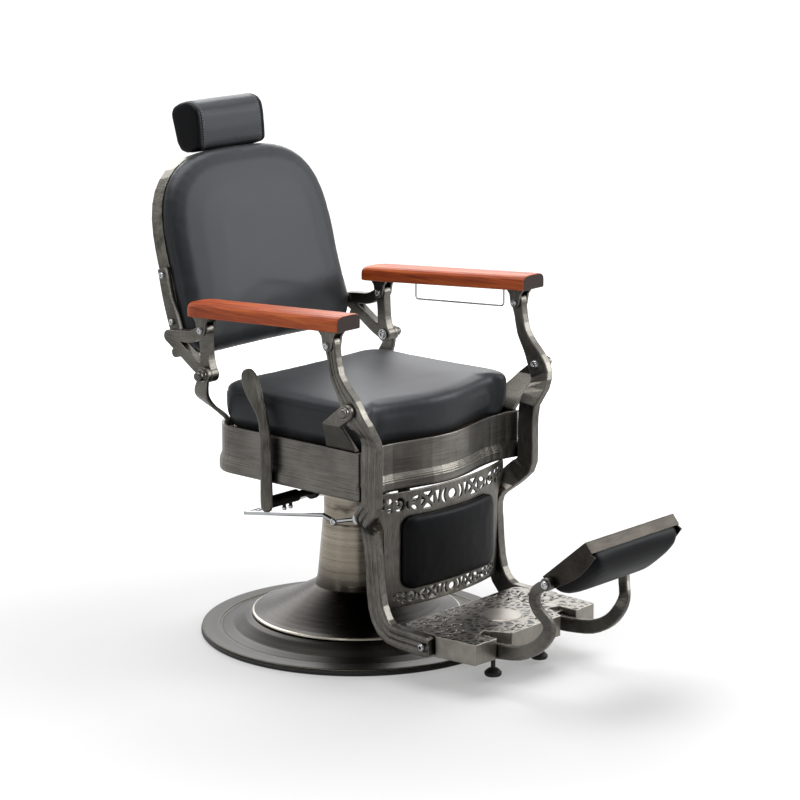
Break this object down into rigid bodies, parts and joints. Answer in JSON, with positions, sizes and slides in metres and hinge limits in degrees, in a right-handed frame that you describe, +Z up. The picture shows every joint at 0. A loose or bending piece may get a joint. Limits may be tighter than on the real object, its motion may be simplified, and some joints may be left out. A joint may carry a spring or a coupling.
{
  "type": "hydraulic barber chair",
  "caption": "Old-style reclining barber chair: round base with a hydraulic column, padded seat and back, cast side linkage, wooden armrests, openwork leg panel and footrest with a flip-over calf pad.",
  "frame": {"origin": "centre of the round base's underside, on the floor", "axes": "+Z up, the sitter faces -Y, +X at the sitter's left"},
  "size_m": [0.7079, 1.2727, 1.1794],
  "materials": {
    "antique_casting": "brushed antique nickel, satin",
    "dark_casting": "dark satin",
    "spun_metal": "brushed, bronze grey",
    "chrome": "polished",
    "black_rubber": "matt",
    "black_leather": "smooth, soft sheen",
    "lacquered_wood": "lacquered, reddish brown",
    "plywood": "bare plywood"
  },
  "bodies": {
    "base": {"floor_plate": "dark_casting", "base_rim": "black_rubber", "base_cover": "dark_casting", "pedestal_cover": "spun_metal", "pump_cylinder": "dark_casting"},
    "lift": {"pump_ram": "chrome", "lift_sleeve": "spun_metal"},
    "seat": {"swivel_head": "dark_casting", "seat_mount": "dark_casting", "seat_frame": "antique_casting", "seat_board": "plywood", "seat_cushion": "black_leather", "front_gusset_left": "antique_casting", "front_gusset_right": "antique_casting", "rear_post_left": "antique_casting", "rear_post_right": "antique_casting", "front_pivot_bolts": "chrome", "rear_pivot_bolts": "chrome", "lever_bearing": "dark_casting", "pedal_bracket": "dark_casting", "pedal_pin": "chrome"},
    "pedal": {"pump_pedal": "chrome"},
    "lever": {"recline_lever": "antique_casting", "lever_shaft": "dark_casting"},
    "back": {"back_shell": "antique_casting", "back_cushion": "black_leather", "back_bracket_left": "antique_casting", "back_bracket_right": "antique_casting", "bracket_bolts": "chrome", "headrest_socket": "dark_casting"},
    "headrest": {"headrest_post": "chrome", "headrest_plate": "dark_casting", "headrest_cushion": "black_leather"},
    "arm_left": {"armrest_left": "lacquered_wood", "front_fork_left": "antique_casting", "rear_fork_left": "antique_casting", "arm_bolts_left": "chrome", "towel_bar": "chrome"},
    "arm_right": {"armrest_right": "lacquered_wood", "front_fork_right": "antique_casting", "rear_fork_right": "antique_casting", "arm_bolts_right": "chrome"},
    "legs": {"leg_left": "antique_casting", "leg_right": "antique_casting", "leg_panel": "antique_casting", "panel_pad": "black_leather", "footrest": "antique_casting", "footrest_arm_left": "antique_casting", "footrest_arm_right": "antique_casting", "foot_bolts": "chrome", "levelling_feet": "black_rubber"},
    "calf_pad": {"calf_tray": "antique_casting", "calf_cushion": "black_leather", "calf_bolts": "chrome"}
  },
  "joints": [
    {"name": "lift_slide", "type": "slide", "parent": "base", "child": "lift", "axis": [0, 0, 1], "range_m": [0, 0.15]},
    {"name": "seat_swivel", "type": "hinge", "parent": "lift", "child": "seat", "pos_m": [0, 0, 0.4], "axis": [0, 0, 1], "continuous": true},
    {"name": "recline", "type": "hinge", "parent": "seat", "child": "back", "pos_m": [0, 0.169, 0.618], "axis": [-1, 0, 0], "range_deg": [0, 40]},
    {"name": "leg_lift", "type": "hinge", "parent": "seat", "child": "legs", "pos_m": [0, -0.27, 0.606], "axis": [-1, 0, 0], "range_deg": [0, 30.5]},
    {"name": "arm_tilt_left", "type": "hinge", "parent": "back", "child": "arm_left", "pos_m": [0, 0.18, 0.716], "axis": [-1, 0, 0], "range_deg": [-43.5, 0]},
    {"name": "arm_tilt_right", "type": "hinge", "parent": "back", "child": "arm_right", "pos_m": [0, 0.18, 0.716], "axis": [-1, 0, 0], "range_deg": [-43.5, 0]},
    {"name": "headrest_slide", "type": "slide", "parent": "back", "child": "headrest", "axis": [0, 0.2756, 0.9613], "range_m": [0, 0.08]},
    {"name": "calf_flip", "type": "hinge", "parent": "legs", "child": "calf_pad", "pos_m": [0, -0.677, 0.273], "axis": [-1, 0, 0], "range_deg": [-10, 110]},
    {"name": "pedal_press", "type": "hinge", "parent": "seat", "child": "pedal", "pos_m": [0, -0.105, 0.3], "axis": [-1, 0, 0], "range_deg": [0, 12], "stiffness_Nm_per_rad": 12, "springref_deg": -11.46},
    {"name": "lever_pull", "type": "hinge", "parent": "seat", "child": "lever", "pos_m": [0, 0.004, 0.352], "axis": [-1, 0, 0], "range_deg": [0, 12], "stiffness_Nm_per_rad": 15, "springref_deg": -5.73}
  ],
  "couplings": [
    {"joint": "leg_lift", "follows": "recline", "ratio": 0.745},
    {"joint": "arm_tilt_left", "follows": "recline", "ratio": -1.067},
    {"joint": "arm_tilt_right", "follows": "recline", "ratio": -1.067}
  ]
}
